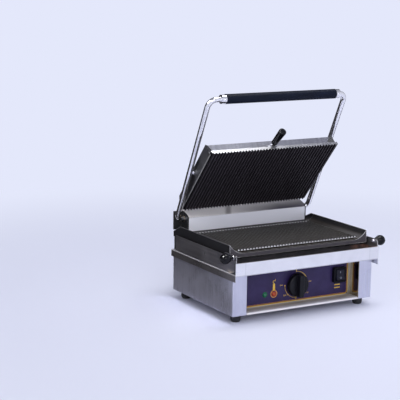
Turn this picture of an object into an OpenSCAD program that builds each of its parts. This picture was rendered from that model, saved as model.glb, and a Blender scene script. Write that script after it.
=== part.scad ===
// Contact grill for pressed sandwiches: a ribbed cast-iron plate on a stainless body, and a ribbed
// upper plate that floats on a counterbalanced handle frame.
//
// Inside the modules x = 0 is the middle of the grill, y = 0 the front of its corner columns and
// z = 0 the underside of its base. in_frame() moves that to the part's own origin: the middle of the
// footprint, on the surface that the feet stand on.

/* [Body] */
// Width across the two front columns
body_w = 420; // [410:1:440]
// Depth of the body from its columns to its back panel
body_d = 305; // [300:1:330]
// Width of the deck rim and of the drip tray's front
rim_w = 430; // [428:1:450]
// Height of the deck above the base
deck_z = 109; // [104:1:120]
// Height of the rim folded down round the deck
rim_h = 18; // [12:1:30]
// Width of each front column
column_w = 41; // [35:1:50]
// How far the control panel stands behind the columns
panel_y = 37; // [30:1:45]
// Thickness of the stainless sheet
sheet = 1.2; // [1:0.1:1.5]
// Height of the rubber feet
foot_h = 20; // [16:1:30]
// Radius of the rubber feet
foot_r = 13; // [10:0.5:16]

/* [Lower plate] */
// Half the outer width of the lower casting
pan_hw = 206.7; // [205:0.1:208]
// Front face of the lower casting
pan_front = 23.4; // [22:0.2:28]
// Lowest edge of the lower casting
pan_z = 142; // [141:0.1:146]
// Height of the tips of the lower ribs
rib_z = 159.7; // [158:0.1:161]
// Height of the side walls of the lower casting
wall_z = 174; // [170:0.5:178]
// Distance from rib to rib on both plates
rib_pitch = 8.8; // [8:0.1:10]
// Height of the ribs
rib_h = 3.6; // [2.5:0.1:4.5]
// Number of ribs on the lower plate
lower_ribs = 41; // [37:2:41]
// Number of ribs on the upper plate
upper_ribs = 43; // [37:2:43]

/* [Upper plate] */
// Width of the upper plate
plate_w = 384.4; // [376:0.2:386]
// Depth of the upper plate from its rear edge to its front edge
plate_d = 226.4; // [220:0.2:227]
// Thickness of the upper plate, ribs included
plate_t = 11; // [10:0.5:14]
// Height of the cover's top above the rib tips
cover_h = 38.7; // [36:0.1:42]
// Distance from the plate's rear edge to its side pivots
pivot_from_rear = 120.7; // [112:0.1:121]
// Height of the side pivots above the rib tips
pivot_rise = 29.6; // [28:0.1:31]
// Tilt of the upper plate above level, at rest
plate_angle = 48.8; // [40:0.1:50]

/* [Handle frame] */
// Angle of the arms above level, at rest
arm_angle = 64; // [55:0.5:66]
// Distance from the hinge to the cross tube
arm_len = 366.9; // [350:0.1:380]
// Distance from the hinge to the plate's pivots
arm_pivot = 148.4; // [148:0.1:152]
// Distance from the middle to each arm
arm_x = 205.9; // [205:0.1:207]
// Radius of the handle tube
tube_r = 7; // [6.5:0.1:7.5]
// Radius of the tube's bends beside the grip
top_bend = 22; // [18:1:22]
// Radius of the tube's bends beside the hinge
hinge_bend = 15; // [13:0.5:16]
// Position of the hinge behind the columns
hinge_y = 295.5; // [292:0.1:298]
// Height of the hinge above the base
hinge_z = 189.8; // [188:0.1:192]
// Radius of the grip sleeve
grip_r = 12.5; // [11:0.1:14]
// Length of the grip sleeve
grip_len = 331; // [300:1:331]
// How far the grip sleeve sits to the right of the middle
grip_shift = 5.5; // [-5.5:0.5:5.5]

/* [Controls] */
// Height of the thermostat knob
dial_z = 50; // [45:1:55]
// Radius of the thermostat knob
dial_r = 30.5; // [24:0.5:31]
// Distance of the switch from the middle
switch_x = 130.5; // [120:0.5:135]
// Height of the switch
switch_z = 61.5; // [50:0.5:62]
// Distances of the green and the orange pilot lamp from the middle
lamp_x = [-94, -67];
// Heights of the green and the orange pilot lamp
lamp_z = [34, 33];
// Radii of the green and the orange pilot lamp
lamp_r = [7.2, 6.2];

/* [Hidden] */
$fn = 64;

running_gap = 0.05;                 // radial clearance of everything that turns

body_hw = body_w / 2;
rim_hw = rim_w / 2;
column_x = body_hw - column_w;      // inner side of a column
back_y = 312;                       // rear plane of the lower casting and of the hinge
rear_y = 320;                       // rearmost plane, the end of the cable gland
tray_front = -20;                   // foremost plane, the front of the drip tray
front_y = -(rear_y + tray_front) / 2;
deck_front = -18.4;
deck_back = body_d + 3;
floor_t = 1.5;                      // thickness of the base
foot_x = body_hw - 24;
foot_rows = [26, body_d - 28];
gland_x = -150;
gland_z = 40;
gland_r = 8;
spacer_x = 190;
spacer_y = 56;
conduit_x = -130;
conduit_y = 225;
conduit_r = 10;

dial_shaft_r = 3;
rocker_w = 24;
rocker_y = -4;                      // the rocker's pivot, in front of the face of the panel

floor_under = 149;                  // underside of the lower casting's floor
valley_z = rib_z - rib_h;           // bottom of the lower grooves
apron_z = 151.2;                    // lip in front of the lower ribs
sweep_r = 47.3;                     // concave sweep from the apron up to the side walls
sweep_x = 165;                      // where the sweeps begin, from the middle
ribs_front = 32;
ribs_back = 251.6;
run_out = 5;                        // length over which the lower grooves end at the back
hinge_seat_y = 262;                 // the casting is flat behind this line, and carries the hinge
hinge_seat_z = 159;
element_r = 4;
element_runs = 4;
press_t = 1.5;
stud_x = 152;
stud_y = 70;

housing_front = 272;
housing_hw = 182;
cover_edge_z = 196;                 // front edge of the bowed hinge cover
cheek_t = 4;
bush_t = 2;                         // wall of the hinge bushes

tray_z = deck_z + 0.3;              // underside of the sliding tray
band_z = 107.5;
band_top = 137.9;
wing_x = rim_hw - 3.4;              // inner face of the tray's wings
wing_front = tray_front + sheet + 0.1;
knob_x = 233.6;
knob_y = 0;
knob_z = 149;
knob_r = 13.4;
knob_root = 19.5;                   // from the ball's middle to the flat end of its taper
stud_r = 2.6;

tube_wall = 1.5;
tube_end_x = 160;                   // where the handle tube ends inside the hinge housing
collar_len = 13;
collar_r = 11.5;
pin_r = 5;
boss_r = 8;

plate_front = pivot_from_rear - plate_d;
plate_back = pivot_from_rear;
plate_top = plate_t - pivot_rise;
cover_front = plate_front + 8.3;
cover_hw = plate_w / 2 + 1.1;
skirt_z = -pivot_rise + 4.5;        // lower edge of the cover's side walls, beside the casting
cover_top = cover_h - pivot_rise;
cover_t = 1;
cover_screw_x = 172;
cover_screw_rows = [-60, 90];
aux_z = -6.6;
aux_y = cover_front + 8.3;          // where the front handle's axis meets the cover
aux_tilt = 7;                       // the front handle points this far below the plate's plane
aux_reach = 71;                     // from the cover to the handle's tip
aux_len = 55;
aux_stud_r = 4;

steel = [0.78, 0.79, 0.82];
dark_steel = [0.33, 0.33, 0.35];
iron = [0.2, 0.19, 0.2];
chrome = [0.9, 0.9, 0.93];
black = [0.07, 0.07, 0.08];

// ---- Frames and helpers ----

module in_frame() {
    translate([0, front_y, foot_h]) children();
}

// Arms level and pointing forward (-y), hinge at the origin, then lifted to the rest angle.
module arm_frame() {
    in_frame() translate([0, hinge_y, hinge_z]) rotate([-arm_angle, 0, 0]) children();
}

// Plate level, ribs down, side pivots at the origin, then tilted to the rest angle.
module plate_frame() {
    pivot_y = hinge_y - arm_pivot * cos(arm_angle);
    pivot_z = hinge_z + arm_pivot * sin(arm_angle);
    in_frame() translate([0, pivot_y, pivot_z]) rotate([-plate_angle, 0, 0]) children();
}

module box(x, y, z) {
    translate([x[0], y[0], z[0]]) cube([x[1] - x[0], y[1] - y[0], z[1] - z[0]]);
}

module both_sides() {
    children();
    mirror([1, 0, 0]) children();
}

// A y-z profile drawn in 2D, extruded from x0 to x1.
module along_x(x0, x1) {
    translate([x0, 0, 0]) rotate([90, 0, 90]) linear_extrude(x1 - x0) children();
}

// An x-z profile drawn in 2D, extruded from y0 to y1.
module along_y(y0, y1) {
    translate([0, y1, 0]) rotate([90, 0, 0]) linear_extrude(y1 - y0) children();
}

module rod_x(x0, x1, r) {
    translate([x0, 0, 0]) rotate([0, 90, 0]) cylinder(h = x1 - x0, r = r);
}

module rod_y(y0, y1, r) {
    translate([0, y0, 0]) rotate([-90, 0, 0]) cylinder(h = y1 - y0, r = r);
}

// Rectangle with two rounded corners on its front (low y) side.
module front_rounded(x0, x1, y0, y1, r) {
    translate([x0 + r, y0]) square([x1 - x0 - 2 * r, y1 - y0]);
    translate([x0, y0 + r]) square([x1 - x0, y1 - y0 - r]);
    for (x = [x0 + r, x1 - r])
        translate([x, y0 + r]) circle(r);
}

// Rectangle with four rounded corners, centred.
module rounded_rect(w, h, r) {
    square([w - 2 * r, h], center = true);
    square([w, h - 2 * r], center = true);
    for (x = [-1, 1], y = [-1, 1])
        translate([x * (w / 2 - r), y * (h / 2 - r)]) circle(r);
}

function arc_points(centre, r, from, to, steps) =
    [for (i = [0:steps]) centre + r * [cos(from + (to - from) * i / steps),
                                       sin(from + (to - from) * i / steps)]];

// Outline of `count` ribs seen end-on, tips at height `tip` and grooves `rib_h` deeper, with the
// plate's back at height `back`. The tips point towards `tip` from the back.
function rib_outline(count, half_width, tip, back) =
    let (groove = tip + (back > tip ? rib_h : -rib_h),
         first = -(count - 1) / 2 * rib_pitch,
         tip_half = 0.11 * rib_pitch,
         root_half = 0.31 * rib_pitch)
    concat([[-half_width, back], [-half_width, groove]],
        [for (i = [0:count - 1], p = [[-root_half, groove], [-tip_half, tip],
                                      [tip_half, tip], [root_half, groove]])
            [first + i * rib_pitch + p[0], p[1]]],
        [[half_width, groove], [half_width, back]]);

// ---- Body ----

// Folded sill in front of the panel, open underneath, with its front edge rounded.
module sill_profile(inset) {
    sill_h = 5;
    difference() {
        translate([sill_h, 0]) circle(sill_h - inset);
        translate([sill_h, -sill_h]) square(2 * sill_h);
        translate([-1, -sill_h]) square([sill_h + 1, sill_h]);
    }
    translate([sill_h, 0]) square([panel_y - sill_h - inset, sill_h - inset]);
}

module base_plate() {
    inner_hw = body_hw - sheet;
    color(steel) in_frame() difference() {
        union() {
            box([-inner_hw, inner_hw], [panel_y, body_d - sheet], [0, floor_t]);
            both_sides() box([column_x + sheet, inner_hw], [sheet, panel_y], [0, floor_t]);
            both_sides() box([inner_hw - sheet, inner_hw], [panel_y + 5, body_d - 20], [0, 14]);
            along_x(-column_x, column_x) difference() {
                sill_profile(0);
                sill_profile(sheet);
            }
        }
        for (x = [-foot_x, foot_x], y = foot_rows)
            translate([x, y, -1]) cylinder(h = 4, r = 3);
        for (x = [-4:4], y = [0:2])
            translate([x * 24, 104 + y * 48, -1]) linear_extrude(4) rounded_rect(6, 34, 2.9);
    }
}

// One sheet bent into the side, the front column and the column's inner return.
module side_panel(side) {
    color(steel) in_frame() mirror([side < 0 ? 1 : 0, 0, 0]) linear_extrude(deck_z - sheet)
        difference() {
            front_rounded(column_x, body_hw, 0, body_d, 2.5);
            front_rounded(column_x + sheet, body_hw - sheet, sheet, body_d + 1, 1.3);
            translate([column_x - 1, panel_y]) square([column_w / 2, body_d]);
        }
}

module back_panel() {
    inner_hw = body_hw - sheet;
    color(steel) in_frame() difference() {
        union() {
            box([-inner_hw, inner_hw], [body_d - sheet, body_d], [0, deck_z - sheet]);
            both_sides() box([inner_hw - sheet, inner_hw], [body_d - 16, body_d], [16, deck_z - sheet]);
        }
        for (i = [0:7], row = [0:1])
            translate([-20 + i * 26, body_d - 3, 46 + row * 26]) rotate([-90, 0, 0])
                linear_extrude(6) rounded_rect(18, 4, 1.9);
        translate([gland_x, body_d, gland_z]) rod_y(-3, 3, gland_r);
    }
}

// Deck over the body, with its rim folded down at the sides and the back.
module deck() {
    rim_z = deck_z - rim_h;
    color(steel) in_frame() difference() {
        box([-rim_hw, rim_hw], [deck_front, deck_back], [rim_z, deck_z]);
        box([-rim_hw + sheet, rim_hw - sheet], [deck_front + sheet, deck_back - sheet],
            [rim_z - 1, deck_z - sheet]);
        box([-rim_hw + sheet, rim_hw - sheet], [deck_front - 1, deck_front + 2 * sheet],
            [rim_z - 1, deck_z - 4]);
        for (x = [-spacer_x, spacer_x])
            translate([x, spacer_y, deck_z - 5]) cylinder(h = 10, r = 3.5);
        translate([conduit_x, conduit_y, deck_z - 5]) cylinder(h = 10, r = conduit_r);
    }
}

module control_panel() {
    color([0.2, 0.16, 0.33]) in_frame() difference() {
        union() {
            box([-column_x - 12, column_x + 12], [panel_y, panel_y + sheet], [floor_t, deck_z - sheet]);
            box([-column_x, column_x], [panel_y, panel_y + 12], [deck_z - 2 * sheet, deck_z - sheet]);
        }
        translate([0, panel_y, dial_z]) rod_y(-1, 3, 5);
        translate([switch_x, panel_y - 1, switch_z]) rotate([-90, 0, 0])
            linear_extrude(5) rounded_rect(32, 38, 2);
        for (i = [0, 1])
            translate([lamp_x[i], panel_y, lamp_z[i]]) rod_y(-1, 3, 5);
    }
}

module feet() {
    color(black) in_frame() for (x = [-foot_x, foot_x], y = foot_rows)
        translate([x, y, 0]) rotate_extrude() difference() {
            polygon([[2.6, 0], [foot_r, 0], [foot_r, -foot_h + 6], [foot_r - 1.5, -foot_h + 1.5],
                     [foot_r - 3, -foot_h], [6.5, -foot_h], [6.5, -foot_h + 9], [2.6, -foot_h + 9]]);
            translate([foot_r + 1, -6]) circle(2);
        }
}

module foot_screws() {
    color(chrome) in_frame() for (x = [-foot_x, foot_x], y = foot_rows)
        translate([x, y, 0]) {
            translate([0, 0, -foot_h + 8]) cylinder(h = foot_h - 1, r = 2.4);
            translate([0, 0, -foot_h + 6]) cylinder(h = 3, r = 5);
            translate([0, 0, floor_t]) cylinder(h = 3.4, r = 4.6, $fn = 6);
        }
}

// ---- Controls ----

module pilot_lamp(i, tint) {
    color(tint) in_frame() translate([lamp_x[i], panel_y, lamp_z[i]]) rotate([90, 0, 0])
        rotate_extrude() polygon(concat([[0, -26], [3.4, -26], [3.4, -14], [4.8, -14], [4.8, 0],
            [lamp_r[i], 0], [lamp_r[i], 1.2]], arc_points([0, -0.6], lamp_r[i] - 0.4, 18, 90, 6)));
}

// Capillary thermostat behind the panel, its bush standing through the panel's hole.
module thermostat_body() {
    color(dark_steel) in_frame() translate([0, panel_y, dial_z]) difference() {
        union() {
            rod_y(-4, sheet, 4.8);
            rod_y(sheet, 13, 18);
            rod_y(13, 32, 14);
            box([-24, 24], [sheet, 3], [-8, 8]);
            for (x = [-7, 7])
                box([x - 3, x + 3], [31, 40], [-0.4, 0.4]);
        }
        rod_y(-5, 25, dial_shaft_r + running_gap);
    }
}

module dial_shaft() {
    color(chrome) in_frame() translate([0, panel_y, dial_z]) rod_y(-16, 22, dial_shaft_r);
}

// Skirted knob with a raised finger bar across it and a pointer groove at one end of the bar.
module thermostat_knob() {
    color(black) in_frame() translate([0, panel_y - 5, dial_z]) rotate([90, 0, 0]) difference() {
        union() {
            rotate_extrude() polygon([[0, 0], [dial_r, 0], [dial_r, 3], [dial_r - 1.5, 9],
                [dial_r - 3.5, 10.5], [0, 10.5]]);
            intersection() {
                translate([0, -dial_r, 0]) rotate([-90, 0, 0]) linear_extrude(2 * dial_r)
                    polygon([[-8.5, -5], [8.5, -5], [6.5, -22], [5.5, -23], [-5.5, -23], [-6.5, -22]]);
                cylinder(h = 30, r = dial_r - 2);
            }
        }
        translate([0, 0, -1]) cylinder(h = 12.2, r = dial_shaft_r);
        translate([-0.9, 6, 22.4]) cube([1.8, dial_r, 2]);
        translate([0, 0, -1]) difference() {
            cylinder(h = 7, r = dial_r - 3);
            translate([0, 0, -1]) cylinder(h = 9, r = 7);
        }
    }
}

module switch_housing() {
    color(black) in_frame() translate([switch_x, panel_y, switch_z]) difference() {
        union() {
            rotate([90, 0, 0]) linear_extrude(9) rounded_rect(38, 40, 3);
            rotate([-90, 0, 0]) linear_extrude(22) rounded_rect(31, 37, 1.5);
            for (x = [-6, 6], z = [-10, 0, 10])
                box([x - 2.4, x + 2.4], [22, 31], [z - 0.4, z + 0.4]);
        }
        box([-rocker_w / 2 - 0.5, rocker_w / 2 + 0.5], [-10, 10], [-16, 16]);
        translate([0, rocker_y, 0]) rod_x(-rocker_w / 2 - 3, rocker_w / 2 + 3, 2 + running_gap);
    }
}

// Rocker whose two finger faces meet in a shallow valley, on a cross pivot, with its top pressed.
module rocker() {
    rocker_r = 15.6;
    valley_y = 6.5;                 // from the pivot out to the valley
    color(black) in_frame() translate([switch_x, panel_y + rocker_y, switch_z]) rotate([-8, 0, 0]) {
        along_x(-rocker_w / 2, rocker_w / 2) difference() {
            circle(rocker_r);
            translate([-1, -20]) square([40, 40]);
            for (turn = [[8, 0], [-8, -20]])
                translate([-valley_y, 0]) rotate(turn[0]) translate([-20, turn[1]]) square(20);
        }
        rod_x(-rocker_w / 2 - 2.6, rocker_w / 2 + 2.6, 2);
        box([-rocker_w / 2, rocker_w / 2], [-1.5, 5], [-4, 4]);
    }
}

module terminal_block() {
    color([0.85, 0.84, 0.8]) in_frame() translate([-160, 210, floor_t]) difference() {
        box([-30, 30], [-11, 11], [0, 20]);
        for (i = [-2:2])
            translate([i * 11, 0, 10]) rod_y(-12, 12, 2.4);
        for (i = [-2:2], y = [-6, 6])
            translate([i * 11, y, 10]) cylinder(h = 13, r = 2);
    }
}

// Threaded gland for the mains lead, with its lock nut inside and its dome outside.
module cable_gland() {
    color(black) in_frame() translate([gland_x, body_d, gland_z]) difference() {
        union() {
            rod_y(-12, 4, gland_r - 0.2);
            rotate([90, 0, 0]) translate([0, 0, sheet]) cylinder(h = 5, r = 11, $fn = 6);
            rotate([-90, 0, 0]) cylinder(h = 5, r = 11.5, $fn = 6);
            rotate([-90, 0, 0]) rotate_extrude() polygon([[0, 4], [9.8, 4], [9.8, 10], [8, rear_y - body_d],
                [0, rear_y - body_d]]);
        }
        rod_y(-13, 16, 5);
    }
}

// ---- Lower plate and what carries it ----

module rear_riser() {
    color(black) in_frame() difference() {
        box([-pan_hw, pan_hw], [290, deck_back - 1], [deck_z, pan_z]);
        box([-pan_hw + 2, pan_hw - 2], [292, deck_back], [deck_z - 1, pan_z - 2]);
    }
}

module casting_spacers() {
    nut_z = deck_z - sheet - 5;
    color(dark_steel) in_frame() for (x = [-spacer_x, spacer_x])
        translate([x, spacer_y, 0]) {
            translate([0, 0, deck_z]) cylinder(h = floor_under - deck_z, r = 8);
            translate([0, 0, nut_z]) cylinder(h = 5.5 + sheet, r = 3.4);
            translate([0, 0, nut_z]) cylinder(h = 5, r = 6.5, $fn = 6);
        }
}

// Pan under the elements, closed against the underside of the casting.
module heat_shield() {
    shield_z = 126;
    color(steel) in_frame() difference() {
        box([-168, 168], [60, 246], [shield_z, floor_under]);
        box([-168 + sheet, 168 - sheet], [60 + sheet, 246 - sheet], [shield_z + sheet, floor_under + 1]);
        translate([conduit_x, conduit_y, shield_z - 1]) cylinder(h = 4, r = conduit_r);
    }
}

// Tube that takes the element's wires from the heat shield down through the deck.
module wire_conduit() {
    color(steel) in_frame() translate([conduit_x, conduit_y, 0]) difference() {
        translate([0, 0, deck_z - 8]) cylinder(h = 30, r = conduit_r);
        translate([0, 0, deck_z - 9]) cylinder(h = 32, r = conduit_r - 1.2);
    }
}

// What is hollowed out above a floor: flat up to flat_hw, then concave sweeps up the side walls.
module pan_hollow(floor_height, flat_hw, r) {
    translate([-flat_hw, floor_height]) square([2 * flat_hw, 60]);
    for (x = [-flat_hw, flat_hw])
        translate([x, floor_height + r]) circle(r);
}

// Cast pan: ribbed floor, low front lip that sweeps up into the side walls, flat seat for the hinge.
module lower_plate() {
    rib_hw = (lower_ribs - 1) / 2 * rib_pitch + rib_pitch / 2;
    color(iron) in_frame() {
        difference() {
            box([-pan_hw, pan_hw], [pan_front, back_y], [pan_z, wall_z]);
            along_y(pan_front - 1, ribs_front) pan_hollow(apron_z, sweep_x, sweep_r);
            along_y(ribs_front - 0.01, hinge_seat_y) intersection() {
                pan_hollow(apron_z, sweep_x, sweep_r);
                translate([-pan_hw, valley_z]) square([2 * pan_hw, 60]);
            }
            along_y(hinge_seat_y - 0.01, back_y + 1) pan_hollow(hinge_seat_z, 190, 14);
            box([-pan_hw + 7, pan_hw - 7], [pan_front + 7, back_y - 7], [pan_z - 1, floor_under]);
            both_sides() along_x(192, pan_hw + 1)
                polygon([[275, wall_z], [275, wall_z + 5], [back_y + 5, wall_z + 5],
                         [back_y + 5, 153.6], [back_y, 156]]);
        }
        along_y(ribs_front, ribs_back)
            polygon(rib_outline(lower_ribs, rib_hw, rib_z, valley_z - 1));
        along_x(-rib_hw, rib_hw)
            polygon([[ribs_back - run_out, valley_z], [ribs_back, hinge_seat_z], [hinge_seat_y, hinge_seat_z],
                     [hinge_seat_y, valley_z - 1], [ribs_back - run_out, valley_z - 1]]);
    }
}

// Sheathed heating element: straight runs joined by half-circle bends, ending in two cold pins.
module element() {
    run_x = 120;
    pitch = 44;
    pin = 16;
    first = -(element_runs - 1) / 2 * pitch;
    for (i = [0:element_runs - 1])
        translate([0, first + i * pitch, 0]) rod_x(-run_x, run_x, element_r);
    for (i = [0:element_runs - 2])
        translate([i % 2 == 0 ? run_x : -run_x, first + (i + 0.5) * pitch, 0])
            rotate([0, 0, i % 2 == 0 ? -90 : 90])
                rotate_extrude(angle = 180) translate([pitch / 2, 0]) circle(element_r);
    for (y = [first, -first])
        translate([-run_x - pin, y, 0]) rod_x(0, pin, 2.2);
}

// Plate that presses the element against the casting, lightened by slots.
module press_plate() {
    linear_extrude(press_t) difference() {
        rounded_rect(2 * stud_x + 22, 170, 8);
        for (x = [-2:2], y = [-1:1])
            translate([x * 50, y * 44]) rounded_rect(34, 12, 5.9);
        for (x = [-stud_x, stud_x], y = [-stud_y, stud_y])
            translate([x, y]) circle(2.7);
    }
}

// Studs that hold a press plate, with the casting's face at z = 0 and the plate on the +z side.
module press_studs() {
    for (x = [-stud_x, stud_x], y = [-stud_y, stud_y])
        translate([x, y, 0]) {
            cylinder(h = 2 * element_r + press_t + 5, r = 2.5);
            translate([0, 0, 2 * element_r + press_t]) cylinder(h = 3.2, r = 4.6, $fn = 6);
        }
}

module under_lower_plate() {
    in_frame() translate([0, 153, floor_under]) children();
}

module lower_element() {
    color(dark_steel) under_lower_plate() translate([0, 0, -element_r]) element();
}

module lower_press_plate() {
    color(steel) under_lower_plate() translate([0, 0, -2 * element_r - press_t]) press_plate();
}

module lower_press_studs() {
    color(chrome) under_lower_plate() mirror([0, 0, 1]) press_studs();
}

// ---- Hinge ----

// End view of the hinge housing, drawn in y-z: flat front, bowed top, flat back.
module housing_outline(inset) {
    intersection() {
        translate([housing_front + inset, hinge_seat_z])
            square([back_y - housing_front - 2 * inset, 60]);
        translate([325, 112.5]) circle(100 - inset);
    }
}

// Cheek with a bore for the hinge bush. The left one has a flange turned outwards behind the arm.
module hinge_cheek(side) {
    color(black) in_frame() mirror([side < 0 ? 1 : 0, 0, 0]) difference() {
        union() {
            along_x(housing_hw, housing_hw + cheek_t) housing_outline(sheet);
            box([housing_hw, 208], [back_y - 2.5, back_y], [160, side < 0 ? 209 : 172]);
        }
        translate([0, hinge_y, hinge_z]) rod_x(housing_hw - 1, housing_hw + cheek_t + 1, tube_r + bush_t);
    }
}

module hinge_bushes() {
    color([0.75, 0.6, 0.35]) in_frame() translate([0, hinge_y, hinge_z]) both_sides() difference() {
        union() {
            rod_x(housing_hw - 4, housing_hw + cheek_t, tube_r + bush_t);
            rod_x(housing_hw - 4, housing_hw - 2.5, tube_r + bush_t + 2);
        }
        rod_x(housing_hw - 5, housing_hw + cheek_t + 1, tube_r + running_gap);
    }
}

// Bowed stainless cover over the hinge, down to the casting at the back.
module hinge_cover() {
    color(steel) in_frame() along_x(-housing_hw, housing_hw) difference() {
        housing_outline(0);
        housing_outline(sheet);
        translate([housing_front - 1, hinge_seat_z - 1])
            square([3 * sheet, cover_edge_z - hinge_seat_z + 1]);
    }
}

module hinge_front_plate() {
    plate_z = [hinge_seat_z, cover_edge_z - 0.6];
    color(steel) in_frame() {
        box([-housing_hw, housing_hw], [housing_front, housing_front + sheet], plate_z);
        both_sides() box([housing_hw - sheet, housing_hw], [housing_front, housing_front + 10], plate_z);
    }
}

// Bracket in the housing that the springs' fixed legs hook over.
module spring_anchor() {
    color(dark_steel) in_frame() difference() {
        union() {
            box([-100, 100], [276, 302], [hinge_seat_z, hinge_seat_z + 3]);
            both_sides() box([97, 100], [276, 302], [hinge_seat_z, 184]);
            box([-3, 3], [276, 302], [hinge_seat_z, 180]);
        }
        translate([0, hinge_y, hinge_z]) rod_x(-110, 110, 8.5);
    }
}

// Coil swept as a closed tube: rings of points round a helix about the hinge axis.
module torsion_spring(side) {
    sides = 8;
    per_turn = 20;
    turns = 8;
    coil_r = 11;
    wire_r = 2;
    pitch = 5;
    rings = turns * per_turn;
    points = [for (i = [0:rings], j = [0:sides - 1])
        let (turn = 360 * i / per_turn, face = 360 * j / sides, r = coil_r + wire_r * cos(face))
        [44 + pitch * i / per_turn + wire_r * sin(face), r * cos(turn), r * sin(turn)]];
    walls = [for (i = [0:rings - 1], j = [0:sides - 1])
        let (k = (j + 1) % sides)
        [i * sides + j, i * sides + k, (i + 1) * sides + k, (i + 1) * sides + j]];
    ends = [[for (j = [sides - 1:-1:0]) j], [for (j = [0:sides - 1]) rings * sides + j]];
    color(chrome) in_frame() translate([0, hinge_y, hinge_z]) mirror([side < 0 ? 1 : 0, 0, 0])
        polyhedron(points, concat(walls, ends));
}

// ---- Drip tray, which slides out forwards ----

module drip_tray() {
    gutter_back = 41;
    gutter_top = 134;
    color(steel) in_frame() {
        box([-rim_hw, rim_hw], [tray_front, tray_front + sheet], [band_z, band_top]);
        difference() {
            box([-rim_hw, rim_hw], [tray_front, tray_front + 7], [band_top - sheet, band_top]);
            both_sides() box([wing_x, wing_x + sheet], [wing_front, 0], [band_z, band_top + 1]);
        }
        both_sides() box([rim_hw - sheet, rim_hw], [tray_front, tray_front + 7], [tray_z, band_top]);
        box([-wing_x, wing_x], [tray_front + sheet, gutter_back], [tray_z, tray_z + sheet]);
        box([-wing_x, wing_x], [gutter_back - sheet, gutter_back], [tray_z, gutter_top]);
        both_sides() box([wing_x - sheet, wing_x], [tray_front + sheet, gutter_back], [tray_z, gutter_top]);
    }
}

// Side wing of the tray: a long runner that ends in a rounded nose at the front.
module tray_wing(side) {
    runner_z = 149.7;
    nose_z = 156.8;
    nose_r = 8.5;
    color(dark_steel) in_frame() mirror([side < 0 ? 1 : 0, 0, 0])
        along_x(wing_x, wing_x + sheet) difference() {
            polygon([[288, tray_z], [288, runner_z], [46, runner_z], [35, nose_z - 0.6],
                     [20, nose_z], [wing_front, nose_z], [wing_front, tray_z]]);
            translate([wing_front - 1, nose_z - nose_r]) difference() {
                square(nose_r + 1);
                translate([nose_r + 1, 0]) circle(nose_r);
            }
            translate([wing_front - 1, tray_z - 1]) difference() {
                square([31, 31]);
                translate([31, 31]) circle(30);
            }
            translate([135, 132]) circle(3);
            translate([knob_y, knob_z]) circle(stud_r);
        }
}

// Ball knob that tapers towards the wing, with a blind hole for the stud.
module tray_knob(side) {
    taper = 27.35;                  // angle of the taper where it leaves the ball
    root_r = 5;
    color(black) in_frame() mirror([side < 0 ? 1 : 0, 0, 0]) translate([knob_x, knob_y, knob_z])
        rotate([0, 90, 0]) rotate_extrude() difference() {
            union() {
                circle(knob_r);
                polygon([[0, -knob_root], [root_r, -knob_root], knob_r * [cos(taper), -sin(taper)],
                         [0, -knob_r * sin(taper)]]);
            }
            translate([-2 * knob_r, -knob_r]) square(2 * knob_r);
            translate([-1, -knob_root - 1]) square([1 + stud_r, knob_root + 3]);
        }
}

module tray_knob_necks() {
    flange_x = wing_x + sheet;
    color(chrome) in_frame() both_sides() translate([0, knob_y, knob_z]) {
        rod_x(flange_x, knob_x - knob_root, 6.5);
        rod_x(wing_x - 5, knob_x, stud_r);
        translate([wing_x - 4, 0, 0]) rotate([0, 90, 0]) cylinder(h = 4, r = 5, $fn = 6);
    }
}

// ---- Handle frame ----

module tube_bend(bend_r) {
    rotate_extrude(angle = 90) translate([bend_r, 0]) difference() {
        circle(tube_r);
        circle(tube_r - tube_wall);
    }
}

module tube_x(x0, x1) {
    difference() {
        rod_x(x0, x1, tube_r);
        rod_x(x0 - 1, x1 + 1, tube_r - tube_wall);
    }
}

module tube_y(y0, y1) {
    difference() {
        rod_y(y0, y1, tube_r);
        rod_y(y0 - 1, y1 + 1, tube_r - tube_wall);
    }
}

// One bent tube: in through each cheek, out and along the arms, and across under the grip.
module handle_frame() {
    top_x = arm_x - top_bend;
    low_x = arm_x - hinge_bend;
    color(chrome) arm_frame() difference() {
        union() {
            translate([0, -arm_len, 0]) tube_x(-top_x, top_x);
            both_sides() {
                tube_x(tube_end_x, low_x);
                translate([low_x, -hinge_bend, 0]) tube_bend(hinge_bend);
                translate([arm_x, 0, 0]) tube_y(-arm_len + top_bend, -hinge_bend);
                translate([top_x, -arm_len + top_bend, 0]) rotate([0, 0, -90]) tube_bend(top_bend);
            }
        }
        translate([0, -arm_pivot, 0]) both_sides() rod_x(arm_x - 10, arm_x, pin_r);
    }
}

// Rod that joins the two ends of the tube inside the housing and carries the springs.
module hinge_shaft() {
    color(dark_steel) arm_frame() rod_x(-housing_hw, housing_hw, tube_r - tube_wall);
}

module grip_sleeve() {
    start = grip_shift - grip_len / 2;
    color(black) arm_frame() translate([0, -arm_len, 0]) difference() {
        rod_x(start, start + grip_len, grip_r);
        rod_x(start - 1, start + grip_len + 1, tube_r + running_gap);
    }
}

// Collars that hold the grip sleeve in place, each with a set screw hole facing the user.
module grip_collars() {
    grip_end = grip_len / 2;
    color(chrome) arm_frame() translate([grip_shift, -arm_len, 0]) {
        for (x = [-grip_end - collar_len, grip_end])
            difference() {
                rod_x(x, x + collar_len, collar_r);
                rod_x(x - 1, x + collar_len + 1, tube_r);
                translate([x + collar_len / 2, 0, 0]) rotate([148, 0, 0]) cylinder(h = 20, r = 2.2);
            }
    }
}

module plate_pivot_pins() {
    color(chrome) arm_frame() translate([0, -arm_pivot, 0]) both_sides() {
        rod_x(cover_hw - 5.6, arm_x, pin_r);
        rod_x(cover_hw - 5.6, cover_hw - 4.4, pin_r + 2.5);
    }
}

// ---- Upper plate ----

module upper_plate() {
    color(iron) plate_frame() along_y(plate_front, plate_back)
        polygon(rib_outline(upper_ribs, plate_w / 2, -pivot_rise, plate_top));
}

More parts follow.
